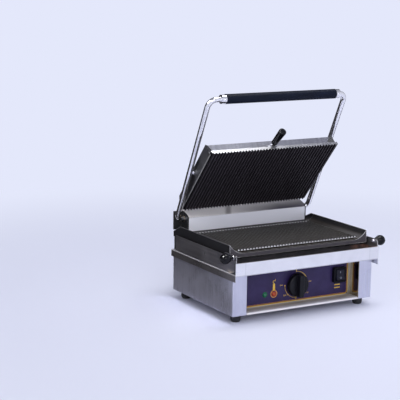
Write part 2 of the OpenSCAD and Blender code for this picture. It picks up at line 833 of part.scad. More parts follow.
// Box shape of the cover, bevelled along its rear top edge. Its front face overhangs towards the top,
// between two upright facets at the ends.
module cover_shape(inset) {
    end_depth = 12;
    end_width = end_depth / tan(25);
    overhang = 8.6;
    lean = overhang / (cover_top - plate_top);
    bevel = 15;
    bevel_sum = plate_back + cover_top - bevel - sqrt(2) * inset;   // y + z along the bevel
    difference() {
        box([-cover_hw + inset, cover_hw - inset], [cover_front + inset, plate_back - inset],
            [plate_top - inset, cover_top - inset]);
        translate([0, 1.3 * inset, 0]) intersection() {
            translate([0, 0, plate_top - 5]) linear_extrude(cover_top - plate_top + 10)
                polygon([[-cover_hw - 1, cover_front - 5], [-cover_hw - 1, cover_front - 0.7],
                         [-cover_hw, cover_front], [-cover_hw + end_width, cover_front + end_depth],
                         [cover_hw - end_width, cover_front + end_depth], [cover_hw, cover_front],
                         [cover_hw + 1, cover_front - 0.7], [cover_hw + 1, cover_front - 5]]);
            along_x(-cover_hw - 2, cover_hw + 2)
                polygon([[cover_front - 9, plate_top - 6],
                         [cover_front + end_depth + 6 * lean, plate_top - 6],
                         [cover_front + end_depth - overhang - 6 * lean, cover_top + 6],
                         [cover_front - 9, cover_top + 6]]);
        }
        along_x(-cover_hw - 2, cover_hw + 2)
            polygon([[bevel_sum - cover_top - 1, cover_top + 1], [plate_back + 1, cover_top + 1],
                     [plate_back + 1, bevel_sum - plate_back - 1]]);
    }
}

module upper_cover() {
    color(steel) plate_frame() difference() {
        union() {
            cover_shape(0);
            both_sides() box([cover_hw - cover_t, cover_hw], [cover_front, plate_back],
                             [skirt_z, plate_top + 1]);
        }
        cover_shape(cover_t);
        both_sides() rod_x(cover_hw - 3, cover_hw + 1, boss_r);
        aux_axis() rod_y(-10, 20, aux_stud_r);
        for (x = [-cover_screw_x, cover_screw_x], y = cover_screw_rows)
            translate([x, y, cover_top - 3]) cylinder(h = 5, r = 2.2);
    }
}

// Inner bracket on the plate with a boss that comes out through the cover and carries the pin.
module pivot_brackets() {
    wall = [cover_hw - 4, cover_hw - cover_t];
    color(dark_steel) plate_frame() both_sides() difference() {
        union() {
            box(wall, [-16, 16], [plate_top, cover_top - cover_t]);
            box([cover_hw - 20, wall[1]], [-16, 16], [plate_top, plate_top + 3]);
            rod_x(wall[0], arm_x - tube_r - 1.2, boss_r);
        }
        rod_x(wall[0] - 1, arm_x, pin_r + running_gap);
    }
}

module over_upper_plate() {
    plate_frame() translate([0, (plate_front + plate_back) / 2, plate_top]) children();
}

module upper_element() {
    color(dark_steel) over_upper_plate() translate([0, 0, element_r]) element();
}

module upper_press_plate() {
    color(steel) over_upper_plate() translate([0, 0, 2 * element_r]) press_plate();
}

module upper_press_studs() {
    color(chrome) over_upper_plate() press_studs();
}

module cover_screws() {
    color(chrome) plate_frame() for (x = [-cover_screw_x, cover_screw_x], y = cover_screw_rows)
        translate([x, y, 0]) {
            translate([0, 0, plate_top]) cylinder(h = cover_top - plate_top + 0.5, r = 2);
            translate([0, 0, cover_top]) cylinder(h = 2.2, r1 = 4.2, r2 = 3.2);
        }
}

// Axis of the front handle, its root on the cover at the origin and its tip towards -y.
module aux_axis() {
    translate([0, aux_y, aux_z]) rotate([aux_tilt, 0, 0]) children();
}

module aux_handle_ferrule() {
    color(chrome) plate_frame() {
        difference() {
            aux_axis() rod_y(aux_len - aux_reach, 5, 6.5);
            cover_shape(0);
        }
        aux_axis() rod_y(aux_len - aux_reach - 30, 8, aux_stud_r);
    }
}

// Handle on the cover's front, slightly thicker at its free end.
module aux_handle_grip() {
    color(black) plate_frame() aux_axis() translate([0, -aux_reach, 0]) rotate([-90, 0, 0]) difference() {
        rotate_extrude() polygon(concat([[0, 0]], arc_points([7, 3], 3, -90, 0, 4),
            [[8, aux_len - 2], [7, aux_len], [0, aux_len]]));
        translate([0, 0, aux_len - 30]) cylinder(h = 31, r = aux_stud_r);
    }
}

base_plate();
side_panel(-1);  // side_panel_left
side_panel(1);  // side_panel_right
back_panel();
deck();
control_panel();
feet();
foot_screws();
pilot_lamp(0, [0.1, 0.7, 0.35]);  // pilot_lamp_green
pilot_lamp(1, [0.95, 0.4, 0.1]);  // pilot_lamp_orange
thermostat_body();
dial_shaft();
thermostat_knob();
switch_housing();
rocker();
terminal_block();
cable_gland();
rear_riser();
casting_spacers();
heat_shield();
wire_conduit();
lower_plate();
lower_element();
lower_press_plate();
lower_press_studs();
hinge_cheek(-1);  // hinge_cheek_left
hinge_cheek(1);  // hinge_cheek_right
hinge_bushes();
hinge_cover();
hinge_front_plate();
spring_anchor();
torsion_spring(-1);  // torsion_spring_left
torsion_spring(1);  // torsion_spring_right
drip_tray();
tray_wing(-1);  // tray_wing_left
tray_wing(1);  // tray_wing_right
tray_knob(-1);  // tray_knob_left
tray_knob(1);  // tray_knob_right
tray_knob_necks();
handle_frame();
hinge_shaft();
grip_sleeve();
grip_collars();
plate_pivot_pins();
upper_plate();
upper_cover();
pivot_brackets();
upper_element();
upper_press_plate();
upper_press_studs();
cover_screws();
aux_handle_ferrule();
aux_handle_grip();
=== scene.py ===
"""Looks of the contact grill: materials, printed panel, small details, floor, lights and camera."""
import math

import bmesh
import bpy
from mathutils import Matrix, Vector

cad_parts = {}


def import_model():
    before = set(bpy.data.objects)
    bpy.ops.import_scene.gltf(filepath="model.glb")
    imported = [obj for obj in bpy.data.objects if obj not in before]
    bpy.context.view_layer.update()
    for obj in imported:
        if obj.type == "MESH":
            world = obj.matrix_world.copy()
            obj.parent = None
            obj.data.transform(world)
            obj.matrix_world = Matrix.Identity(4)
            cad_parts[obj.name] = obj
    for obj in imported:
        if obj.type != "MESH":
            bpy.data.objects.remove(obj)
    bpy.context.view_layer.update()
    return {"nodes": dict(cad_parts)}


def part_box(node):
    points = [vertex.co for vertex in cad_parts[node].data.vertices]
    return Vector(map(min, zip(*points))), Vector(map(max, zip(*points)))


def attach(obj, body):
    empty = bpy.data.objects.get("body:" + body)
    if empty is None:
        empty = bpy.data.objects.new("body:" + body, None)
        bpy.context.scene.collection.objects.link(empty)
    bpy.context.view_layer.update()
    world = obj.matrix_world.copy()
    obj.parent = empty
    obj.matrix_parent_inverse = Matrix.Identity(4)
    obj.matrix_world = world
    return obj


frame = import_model()
scene = bpy.context.scene
nodes = frame["nodes"]
MM = 0.001


# ---------------------------------------------------------------- node helpers

class Tree:
    """A material's node tree with short calls for the nodes that the finishes share."""

    def __init__(self, name, **sockets):
        self.material = bpy.data.materials.new(name)
        self.material.use_nodes = True
        self.tree = self.material.node_tree
        self.tree.nodes.clear()
        self.shader = self.tree.nodes.new("ShaderNodeBsdfPrincipled")
        output = self.tree.nodes.new("ShaderNodeOutputMaterial")
        self.tree.links.new(self.shader.outputs[0], output.inputs[0])
        for key, value in sockets.items():
            socket = self.shader.inputs[key.replace("_", " ")]
            if hasattr(value, "__len__"):
                value = (*value[:3], 1.0) if len(value) == 3 else value
            socket.default_value = value
        self.coords = None

    def set(self, socket, value):
        if isinstance(value, bpy.types.NodeSocket):
            self.tree.links.new(value, socket)
        elif hasattr(value, "__len__") and len(value) == 3 and socket.type == "RGBA":
            socket.default_value = (*value, 1.0)
        else:
            socket.default_value = value

    def to_shader(self, name, value):
        self.tree.links.new(value, self.shader.inputs[name])

    def place(self):
        """Position on the part at rest, in metres."""
        if self.coords is None:
            self.coords = self.tree.nodes.new("ShaderNodeTexCoord").outputs["Object"]
        return self.coords

    def scaled(self, scale, turn=None):
        mapping = self.tree.nodes.new("ShaderNodeMapping")
        self.tree.links.new(self.place(), mapping.inputs["Vector"])
        mapping.inputs["Scale"].default_value = scale
        if turn:
            mapping.inputs["Rotation"].default_value = turn
        return mapping.outputs[0]

    def noise(self, scale, detail=2.0, rough=0.5, turn=None, distort=0.0):
        """Noise in 0..1. A scale of three numbers stretches it."""
        node = self.tree.nodes.new("ShaderNodeTexNoise")
        if not hasattr(scale, "__len__"):
            scale = (scale,) * 3
        self.tree.links.new(self.scaled(scale, turn), node.inputs["Vector"])
        node.inputs["Scale"].default_value = 1.0
        node.inputs["Detail"].default_value = detail
        node.inputs["Roughness"].default_value = rough
        node.inputs["Distortion"].default_value = distort
        return node.outputs["Fac"]

    def cells(self, scale):
        node = self.tree.nodes.new("ShaderNodeTexVoronoi")
        self.tree.links.new(self.scaled((scale,) * 3), node.inputs["Vector"])
        node.inputs["Scale"].default_value = 1.0
        return node.outputs["Distance"]

    def math(self, kind, a, b=0.0):
        node = self.tree.nodes.new("ShaderNodeMath")
        node.operation = kind
        self.set(node.inputs[0], a)
        self.set(node.inputs[1], b)
        return node.outputs[0]

    def spread(self, value, low, high, to_low=0.0, to_high=1.0, smooth=False):
        node = self.tree.nodes.new("ShaderNodeMapRange")
        node.interpolation_type = "SMOOTHSTEP" if smooth else "LINEAR"
        node.clamp = True
        self.set(node.inputs[0], value)
        for i, v in enumerate((low, high, to_low, to_high)):
            node.inputs[i + 1].default_value = v
        return node.outputs[0]

    def mix(self, share, a, b):
        node = self.tree.nodes.new("ShaderNodeMix")
        node.data_type = "RGBA"
        self.set(node.inputs[0], share)
        self.set(node.inputs[6], a)
        self.set(node.inputs[7], b)
        return node.outputs[2]

    def axis(self, name):
        """One coordinate of the position, in metres."""
        node = self.tree.nodes.new("ShaderNodeSeparateXYZ")
        self.tree.links.new(self.place(), node.inputs[0])
        return node.outputs[name]

    def facing(self, direction):
        """How far the surface faces a direction of the part, from -1 to 1."""
        coord = self.tree.nodes.new("ShaderNodeTexCoord")
        node = self.tree.nodes.new("ShaderNodeVectorMath")
        node.operation = "DOT_PRODUCT"
        self.tree.links.new(coord.outputs["Normal"], node.inputs[0])
        node.inputs[1].default_value = Vector(direction).normalized()
        return node.outputs["Value"]

    def edges(self, width):
        """1 on edges and corners, 0 on flats."""
        bevel = self.tree.nodes.new("ShaderNodeBevel")
        bevel.samples = 6
        bevel.inputs["Radius"].default_value = width
        geometry = self.tree.nodes.new("ShaderNodeNewGeometry")
        dot = self.tree.nodes.new("ShaderNodeVectorMath")
        dot.operation = "DOT_PRODUCT"
        self.tree.links.new(bevel.outputs[0], dot.inputs[0])
        self.tree.links.new(geometry.outputs["Normal"], dot.inputs[1])
        return self.spread(dot.outputs["Value"], 0.97, 0.8)

    def relief(self, height, depth, strength=1.0, rounding=0.0):
        """Bumps of that depth in metres, over edges rounded by `rounding`."""
        bump = self.tree.nodes.new("ShaderNodeBump")
        bump.inputs["Distance"].default_value = depth
        bump.inputs["Strength"].default_value = strength
        self.tree.links.new(height, bump.inputs["Height"])
        if rounding:
            bevel = self.tree.nodes.new("ShaderNodeBevel")
            bevel.samples = 6
            bevel.inputs["Radius"].default_value = rounding
            self.tree.links.new(bevel.outputs[0], bump.inputs["Normal"])
        self.to_shader("Normal", bump.outputs[0])


def stretched(along, coarse, fine):
    """Scale of a grain that runs along one axis of the part."""
    return tuple(coarse if axis == along else fine for axis in "XYZ")


# ---------------------------------------------------------------- finishes

def brushed_steel(name, tint, rough, along, grain=0.05, cloud=0.08, rounding=0.0006, overlay=None):
    """Stainless sheet: brushing along one axis, streaks, wiping marks, and the overlays given, which paint
    highlights, shade, reflections and changes of tone.
    """
    t = Tree(name, Metallic=1.0)
    fine = t.noise(stretched(along, 9, 1500), 3, 0.6)
    streak = t.noise(stretched(along, 2.2, 150), 3, 0.55)
    wiped = t.noise(16, 4, 0.55, distort=0.4)
    shade = t.math("ADD", t.math("MULTIPLY", streak, 0.55), t.math("MULTIPLY", wiped, 0.45))
    dark = tuple(c * (1 - 1.4 * cloud) for c in tint)
    pale = tuple(min(1.0, c * (1 + 0.7 * cloud)) for c in tint)
    colour = t.mix(t.spread(shade, 0.3, 0.7), dark, pale)
    if overlay:
        metallic = 1.0
        for where, tone, metal in overlay(t):
            colour = t.mix(where, colour, tone)
            kept = t.math("MULTIPLY", metallic, t.math("SUBTRACT", 1.0, where))
            metallic = t.math("ADD", kept, t.math("MULTIPLY", where, metal))
        t.to_shader("Metallic", metallic)
    t.to_shader("Base Color", colour)
    r = t.math("ADD", t.spread(fine, 0.3, 0.7, rough - grain, rough + grain),
               t.spread(wiped, 0.35, 0.7, -0.03, 0.05))
    t.to_shader("Roughness", r)
    t.relief(fine, 0.000006, 0.25, rounding)
    return t.material


def wing_painted_light(t):
    """Front edge of a tray wing lightened as a painted highlight, with a warm painted reflection in its lower
    front corner.
    """
    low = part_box("tray_wing_left")[0]
    side = t.spread(t.math("ABSOLUTE", t.facing((1, 0, 0))), 0.8, 0.95)
    edge = t.math("MULTIPLY", side, t.spread(t.axis("Y"), low.y + 0.0012, low.y + 0.0022, 1.0, 0.0))
    smear_and_reflection = t.math("MULTIPLY", t.spread(t.axis("Y"), low.y + 0.030, low.y + 0.048, 1.0, 0.0, True),
                   t.spread(t.axis("Z"), low.z + 0.001, low.z + 0.012, 0.75, 0.0, True))
    return [(t.math("MULTIPLY", side, smear_and_reflection), (0.62, 0.53, 0.43), 0.35), (edge, (0.80, 0.80, 0.82), 0.0)]


def deck_painted_light(t):
    """Deck's end rims darkened as painted shade, with painted highlights along their top edges."""
    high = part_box("deck")[1]
    end = t.spread(t.math("ABSOLUTE", t.facing((1, 0, 0))), 0.8, 0.95)
    end = t.math("MULTIPLY", end, t.spread(t.math("ABSOLUTE", t.axis("X")), high.x - 0.0007, high.x - 0.0003))
    edge = t.math("MULTIPLY", end, t.spread(t.axis("Z"), high.z - 0.0022, high.z - 0.0014))
    return [(end, (0.27, 0.255, 0.26), 1.0), (edge, (0.85, 0.82, 0.78), 0.2)]


def hinge_cover_tone_and_shade(t):
    """Hinge cover: painted shade towards its front edge on the right, and one painted dark reflection left of
    the middle.
    """
    low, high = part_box("hinge_cover")
    slope = t.spread(t.axis("Y"), low.y, high.y, 1.0, 0.0)
    right = t.math("MULTIPLY", slope, t.spread(t.axis("X"), -0.06, 0.10, 0.0, 0.95))
    across = t.math("SUBTRACT", t.axis("X"), t.math("MULTIPLY", t.axis("Y"), 0.57))
    off = t.math("ABSOLUTE", t.math("ADD", across, 0.052 + 0.57 * (low.y + high.y) / 2))
    smear_and_reflection = t.spread(off, 0.002, 0.014, 0.55, 0.0, True)
    return [(1.0, (0.98, 0.94, 0.92), 0.35), (right, (0.17, 0.16, 0.20), 0.8),
            (smear_and_reflection, (0.22, 0.20, 0.20), 0.8)]


def satin_hinge_front_highlight(t):
    """Hinge front plate: pale satin, with a painted highlight along its top edge."""
    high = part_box("hinge_front_plate")[1]
    edge = t.spread(t.axis("Z"), high.z - 0.0020, high.z - 0.0012)
    return [(1.0, (0.96, 0.96, 1.0), 0.5), (edge, (0.95, 0.95, 0.97), 0.0)]


def sill_grading(t):
    """Base plate: mottled grey over the brushing, paler towards its front edge."""
    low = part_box("base_plate")[0]
    front_share = t.spread(t.axis("Y"), low.y + 0.002, low.y + 0.022, 1.0, 0.0)
    film = t.mix(t.noise(30, 4, 0.6), (0.36, 0.33, 0.31), (0.52, 0.49, 0.47))
    film = t.mix(front_share, film, (0.95, 0.92, 0.93))
    return [(1.0, film, 0.25)]


def cover_steel():
    """Upper cover: brushing that runs down its front; painted shade on the front's right part, on the corner
    facets and on the end walls, and a painted highlight along the end walls' lower edges.
    """
    t = Tree("finish_upper_cover")
    fine = t.noise((420, 5, 5), 3, 0.6)
    streak = t.noise((120, 2.2, 2.2), 3, 0.55)
    wiped = t.noise(16, 4, 0.55, distort=0.4)
    shade = t.math("ADD", t.math("MULTIPLY", streak, 0.6), t.math("MULTIPLY", fine, 0.4))
    shade = t.spread(shade, 0.30, 0.70)
    front = t.spread(t.facing((0, -0.85, 0.52)), 0.90, 0.97)
    # Painted shade: the front darker towards the right.
    right = t.math("MULTIPLY", front, t.spread(t.axis("X"), -0.10, 0.12))
    calm = t.mix(shade, (0.50, 0.50, 0.53), (0.58, 0.58, 0.61))
    colour = t.mix(front, calm, t.mix(shade, (0.44, 0.44, 0.48), (0.66, 0.66, 0.71)))
    colour = t.mix(right, colour, t.mix(shade, (0.26, 0.26, 0.30), (0.38, 0.38, 0.43)))
    # Painted shade: the corner facets darkened.
    corner = t.math("MAXIMUM", t.facing((-0.42, -0.60, 0.68)), t.facing((0.42, -0.60, 0.68)))
    corner = t.spread(corner, 0.96, 0.985)
    colour = t.mix(corner, colour, t.mix(shade, (0.050, 0.050, 0.055), (0.075, 0.075, 0.082)))
    # Painted shade: the end walls darkened.
    end = t.spread(t.math("ABSOLUTE", t.facing((1, 0, 0))), 0.6, 0.9)
    colour = t.mix(end, colour, t.mix(t.spread(wiped, 0.3, 0.7), (0.085, 0.085, 0.092), (0.13, 0.128, 0.132)))
    # Painted highlight: the end walls' lower edges lightened.
    hem = t.math("MULTIPLY", end, t.spread(above_ribs(t), 0.0064, 0.0076, 1.0, 0.0))
    t.to_shader("Base Color", t.mix(hem, colour, (0.42, 0.41, 0.40)))
    t.to_shader("Metallic", t.math("SUBTRACT", 1.0, t.math("MULTIPLY", hem, 0.7)))
    rough = t.math("ADD", t.spread(streak, 0.3, 0.7, 0.30, 0.35), t.spread(wiped, 0.35, 0.7, -0.02, 0.04))
    dull = t.math("ADD", t.math("MULTIPLY", end, 0.10), t.math("MULTIPLY", corner, 0.24))
    t.to_shader("Roughness", t.math("ADD", rough, dull))
    return t.material


def iron_finish(name, tint, height_of, crest, groove, cut_where, shaded, edge_tint, edge_width):
    """Sand-cast iron, darkened by use: pitted grain and oily patches; rib tips, grooves and edges recoloured
    in the caller's tones as painted light and shade.
    """
    t = Tree(name)
    sand = t.noise(900, 4, 0.65)
    lumps = t.noise(120, 3, 0.6)
    patch = t.noise(11, 4, 0.6, distort=0.6)
    dark = tuple(c * 0.72 for c in tint)
    pale = tuple(c * 1.35 for c in tint)
    colour = t.mix(t.spread(patch, 0.32, 0.68), dark, pale)
    colour = t.mix(t.math("MULTIPLY", t.spread(sand, 0.45, 0.75), 0.35), colour,
                   tuple(c * 2.2 for c in tint))
    tip, deep = height_of(t)
    # Tips and grooves recoloured by the caller's factors, as painted light and shade.
    colour = t.mix(deep, colour, tuple(c * groove for c in tint))
    colour = t.mix(tip, colour, tuple(c * crest for c in tint))
    if shaded:
        colour = shaded(t, colour)
    # Edges recoloured in the caller's tone, as painted highlights.
    colour = t.mix(t.edges(edge_width), colour, edge_tint(t))
    rough = t.math("ADD", t.spread(patch, 0.3, 0.7, 0.46, 0.62), t.spread(sand, 0.3, 0.7, -0.05, 0.07))
    bare, bare_colour, metal = cut_where(t)
    colour = t.mix(bare, colour, bare_colour)
    rough = t.math("ADD", rough, t.math("MULTIPLY", bare, -0.16))
    t.to_shader("Metallic", t.math("MULTIPLY", bare, metal))
    t.to_shader("Base Color", colour)
    t.to_shader("Roughness", rough)
    shine = t.math("ADD", 0.13, t.math("MULTIPLY", tip, 0.10))
    shine = t.math("MULTIPLY", shine, t.math("SUBTRACT", 1.0, t.math("MULTIPLY", deep, 0.7)))
    t.to_shader("Specular IOR Level", shine)
    height = t.math("ADD", t.math("MULTIPLY", sand, 0.4), t.math("MULTIPLY", lumps, 0.6))
    t.relief(t.math("MULTIPLY", height, t.math("SUBTRACT", 1.0, bare)), 0.00012, 0.7)
    return t.material


def chrome_finish(name, tint=(0.90, 0.90, 0.93), rough=0.065):
    """Chromium plating with a film of finger marks."""
    t = Tree(name, Metallic=1.0)
    smear_and_reflection = t.noise(22, 2, 0.5, distort=0.4)
    t.to_shader("Base Color", t.mix(t.spread(smear_and_reflection, 0.35, 0.75), tint, tuple(c * 0.88 for c in tint)))
    t.to_shader("Roughness", t.spread(smear_and_reflection, 0.30, 0.80, rough, rough + 0.025))
    return t.material


def moulded(name, tint, rough, grain=0.25, rounding=0.0005, level=0.5):
    """Moulded plastic or rubber: fine matt grain, faint mottling, edges lightened as a painted highlight."""
    t = Tree(name, Specular_IOR_Level=level)
    fine = t.noise(2600, 3, 0.6)
    mottle = t.noise(60, 3, 0.55)
    dark = tuple(c * 0.8 for c in tint)
    pale = tuple(c * 1.25 for c in tint)
    colour = t.mix(t.spread(mottle, 0.35, 0.65), dark, pale)
    # Edges lightened as a painted highlight.
    t.to_shader("Base Color", t.mix(t.math("MULTIPLY", t.edges(0.0005), 0.25), colour,
                                    tuple(min(1.0, c * 2.4 + 0.01) for c in tint)))
    t.to_shader("Roughness", t.math("ADD", t.spread(fine, 0.3, 0.7, rough - 0.05, rough + 0.08),
                                    t.spread(mottle, 0.35, 0.65, -0.04, 0.04)))
    if grain:
        t.relief(fine, 0.00003, grain, rounding)
    return t.material


def painted(name, tint, rough):
    """Baked enamel on sheet steel, with orange-peel and chips of bare steel on the edges."""
    t = Tree(name)
    peel = t.noise(320, 2, 0.5)
    dust = t.noise(30, 4, 0.6)
    chips = t.math("MULTIPLY", t.edges(0.0006), t.spread(t.noise(240, 3, 0.7), 0.52, 0.6))
    colour = t.mix(t.spread(dust, 0.3, 0.7), tuple(c * 0.8 for c in tint), tuple(c * 1.3 for c in tint))
    t.to_shader("Base Color", t.mix(chips, colour, (0.35, 0.34, 0.34)))
    t.to_shader("Roughness", t.spread(dust, 0.3, 0.7, rough - 0.06, rough + 0.08))
    t.relief(peel, 0.00003, 0.5, 0.0006)
    return t.material


def column_steel():
    """Sides and columns: vertical brushing on the faces, mirror-bright on the columns' returns, which are
    tinted dark and warm as painted shade.
    """
    t = Tree("finish_side_sheet", Metallic=1.0)
    fine = t.noise((1500, 1500, 9), 3, 0.6)
    streak = t.noise((150, 150, 2.2), 3, 0.55)
    wiped = t.noise(16, 4, 0.55, distort=0.4)
    shade = t.math("ADD", t.math("MULTIPLY", streak, 0.5), t.math("MULTIPLY", wiped, 0.5))
    reach = t.math("ABSOLUTE", t.axis("X"))
    inner = t.spread(reach, 0.1705, 0.1698)
    plain = t.mix(t.spread(shade, 0.3, 0.7), (0.56, 0.565, 0.67), (0.64, 0.645, 0.75))
    # Painted shade: the returns tinted dark and warm.
    t.to_shader("Base Color", t.mix(inner, plain, (0.32, 0.27, 0.18)))
    plain = t.math("ADD", t.spread(fine, 0.3, 0.7, 0.24, 0.40), t.spread(wiped, 0.35, 0.7, -0.03, 0.05))
    t.to_shader("Roughness", t.math("MULTIPLY", plain, t.spread(inner, 0.0, 1.0, 1.0, 0.45)))
    t.relief(fine, 0.000006, 0.25, 0.0007)
    return t.material


def tray_steel():
    """Drip tray: bright brushed front with a welded seam near each end; behind the front a film of fat
    darkened further as painted shade, brown towards the right end.
    """
    t = Tree("finish_tray")
    fine = t.noise((9, 1500, 1500), 3, 0.6)
    wiped = t.noise(18, 4, 0.6, distort=0.5)
    film = t.noise(28, 3, 0.5)
    reach = t.math("ABSOLUTE", t.axis("X"))
    seam = t.spread(t.math("ABSOLUTE", t.math("SUBTRACT", reach, 0.187)), 0.0002, 0.0009, 1.0, 0.0)
    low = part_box("drip_tray")[0]
    front = t.spread(t.axis("Y"), low.y + 0.0014, low.y + 0.0022, 1.0, 0.0)
    colour = t.mix(t.spread(wiped, 0.3, 0.75), (0.90, 0.90, 0.93), (0.80, 0.80, 0.83))
    colour = t.mix(t.math("MULTIPLY", t.math("MULTIPLY", seam, front), 0.45), colour, (0.42, 0.42, 0.45))
    # Behind the front: a film of fat, partly painted shade; brown towards the right end.
    fat_and_shade = t.mix(t.spread(film, 0.35, 0.7), (0.052, 0.050, 0.056), (0.078, 0.070, 0.074))
    brown_end = t.math("MULTIPLY", t.spread(t.axis("X"), 0.160, 0.190), t.spread(film, 0.40, 0.60))
    fat_and_shade = t.mix(brown_end, fat_and_shade, (0.30, 0.17, 0.13))
    colour = t.mix(front, fat_and_shade, colour)
    t.to_shader("Base Color", colour)
    t.to_shader("Metallic", t.spread(front, 0.0, 1.0, 0.15, 1.0))
    t.to_shader("Roughness", t.math("ADD", t.spread(fine, 0.3, 0.7, 0.26, 0.36),
                                    t.spread(wiped, 0.3, 0.7, -0.02, 0.06)))
    t.relief(fine, 0.000006, 0.25, 0.0006)
    return t.material


def panel_film():
    """Indigo printed film, satin, on a steel panel that stays bare outside the printed border."""
    t = Tree("finish_panel_film", Specular_IOR_Level=0.28)
    haze = t.noise(24, 4, 0.6, distort=0.3)
    scratch = t.noise((40, 2000, 900), 2, 0.5)
    film = t.mix(t.spread(haze, 0.3, 0.7), (0.024, 0.014, 0.066), (0.038, 0.025, 0.098))
    bare = t.math("MAXIMUM", t.spread(t.math("ABSOLUTE", t.axis("X")), 0.1612, 0.1616),
                  t.spread(t.axis("Z"), 0.0274, 0.0270))
    t.to_shader("Metallic", bare)
    t.to_shader("Base Color", t.mix(bare, film, (0.66, 0.65, 0.66)))
    t.to_shader("Roughness", t.math("ADD", t.spread(haze, 0.3, 0.7, 0.30, 0.40),
                                    t.spread(scratch, 0.5, 0.8, 0.0, 0.12)))
    t.relief(scratch, 0.000008, 0.3, 0.0004)
    return t.material


def print_ink(name, tint):
    """Screen-printed ink with a slightly speckled colour."""
    t = Tree(name)
    speck = t.noise(900, 3, 0.6)
    t.to_shader("Base Color", t.mix(t.spread(speck, 0.3, 0.7), tint, tuple(c * 0.72 for c in tint)))
    t.to_shader("Roughness", t.spread(speck, 0.3, 0.7, 0.34, 0.48))
    return t.material


def lamp_lens(name, tint, glow):
    """Ribbed translucent lens of a pilot lamp."""
    t = Tree(name, Transmission_Weight=0.25, IOR=1.49, Emission_Strength=glow,
             Emission_Color=tint, Coat_Weight=0.5)
    cells = t.noise(420, 2, 0.5)
    t.to_shader("Base Color", t.mix(t.spread(cells, 0.3, 0.7), tuple(c * 0.55 for c in tint), tint))
    t.to_shader("Roughness", t.spread(cells, 0.3, 0.7, 0.12, 0.28))
    t.relief(cells, 0.00015, 0.6, 0.0003)
    return t.material


def sleeve_rubber():
    """Foamed rubber sleeve: closed pores, slight lengthwise wear."""
    t = Tree("finish_grip_sleeve", Specular_IOR_Level=0.13)
    pores = t.cells(950)
    wear = t.noise((25, 120, 120), 3, 0.6)
    t.to_shader("Base Color", t.mix(t.spread(wear, 0.3, 0.75), (0.002, 0.004, 0.012), (0.004, 0.008, 0.022)))
    t.to_shader("Roughness", t.math("ADD", t.spread(wear, 0.3, 0.7, 0.38, 0.55),
                                    t.spread(pores, 0.1, 0.6, 0.06, -0.04)))
    t.relief(pores, 0.00010, 0.45, 0.0008)
    return t.material


TILT = math.radians(48.8)
PLATE_FRONT = (0, -math.cos(TILT), math.sin(TILT))


def within(t, value, low, high, soft=0.0002):
    """1 where a value lies between two limits."""
    return t.math("MULTIPLY", t.spread(value, low - soft, low + soft),
                  t.spread(value, high - soft, high + soft, 1.0, 0.0))


def lower_heights(t):
    """Tips and grooves of the lower ribs."""
    ribbed = t.math("MULTIPLY", within(t, t.axis("Y"), RIBS[0], RIBS[1]),
                    t.spread(t.math("ABSOLUTE", t.axis("X")), 0.181, 0.1805))
    tip = t.math("MULTIPLY", ribbed, t.spread(t.axis("Z"), TIP_Z - 0.0008, TIP_Z - 0.0001))
    deep = t.math("MULTIPLY", ribbed, t.spread(t.axis("Z"), TIP_Z - 0.0034, TIP_Z - 0.0016, 1.0, 0.0))
    return tip, deep


def machined_rib_ends(t):
    """The ends of the lower ribs that face the user, and the run-outs at the back, cut bare; their near-white
    colour is a painted highlight on the ends and a painted reflection on the run-outs.
    """
    middle = t.spread(t.math("ABSOLUTE", t.axis("X")), 0.1805, 0.1800)
    ends = t.math("MULTIPLY", within(t, t.axis("Y"), RIBS[0] - 0.0006, RIBS[0] + 0.0004),
                  t.spread(t.facing((0, -1, 0)), 0.75, 0.85))
    ends = t.math("MULTIPLY", ends, t.spread(t.axis("Z"), TIP_Z - 0.0036, TIP_Z - 0.0032))
    ramps = t.math("MULTIPLY", within(t, t.axis("Y"), RIBS[1] - 0.0050, RIBS[1] + 0.0004),
                   t.spread(t.facing((0, -0.5, 0.86)), 0.97, 0.99))
    where = t.math("MULTIPLY", middle, t.math("MAXIMUM", ends, ramps))
    return where, (1.0, 0.99, 1.0), t.math("MULTIPLY", t.math("SUBTRACT", 1.0, ramps), 0.4)


def lower_shades(t, colour):
    """Lip paler grey on its front face; painted shade on the walls and a painted highlight on the swept
    corners.
    """
    lip = t.math("MULTIPLY", t.spread(t.facing((0, -1, 0)), 0.8, 0.95),
                 t.spread(t.axis("Y"), casting_lo.y + 0.0010, casting_lo.y + 0.0005))
    colour = t.mix(lip, colour, t.mix(t.noise(40, 4, 0.6), (0.066, 0.059, 0.066), (0.105, 0.096, 0.106)))
    reach = t.math("ABSOLUTE", t.axis("X"))
    # Painted shade on the walls.
    wall = t.spread(reach, 0.193, 0.200)
    wall = t.math("MULTIPLY", wall, t.math("SUBTRACT", 1.0, lip))
    colour = t.mix(t.math("MULTIPLY", wall, 0.85), colour, (0.010, 0.010, 0.013))
    # Painted highlight on the swept corners.
    overlay = t.math("MULTIPLY", within(t, reach, 0.1840, 0.1950, 0.0030),
                  t.spread(t.axis("Y"), 0.05, casting_lo.y, 0.15, 1.0))
    overlay = t.math("MULTIPLY", overlay, t.math("SUBTRACT", 1.0, lip))
    return t.mix(t.math("MULTIPLY", overlay, 0.8), colour, (0.125, 0.120, 0.122))


def lower_edges(t):
    """Edges of the pan lightened grey, and bright along the front lip and its sweeps: painted highlights."""
    front = t.spread(t.axis("Y"), casting_lo.y + 0.004, casting_lo.y + 0.010, 1.0, 0.0)
    sweep = t.math("MULTIPLY", front, t.spread(t.math("ABSOLUTE", t.axis("X")), 0.170, 0.182))
    return t.mix(sweep, (0.30, 0.29, 0.29), (0.95, 0.94, 0.95))


def upper_edges(_):
    """Edges of the upper casting, evenly grey."""
    return 0.08, 0.078, 0.08


def above_ribs(t):
    """Distance from the tips of the upper ribs, along the plate's normal."""
    up = t.math("ADD", t.math("MULTIPLY", t.axis("Y"), math.sin(TILT)),
                t.math("MULTIPLY", t.axis("Z"), math.cos(TILT)))
    return t.math("SUBTRACT", up, PLATE_FACE)


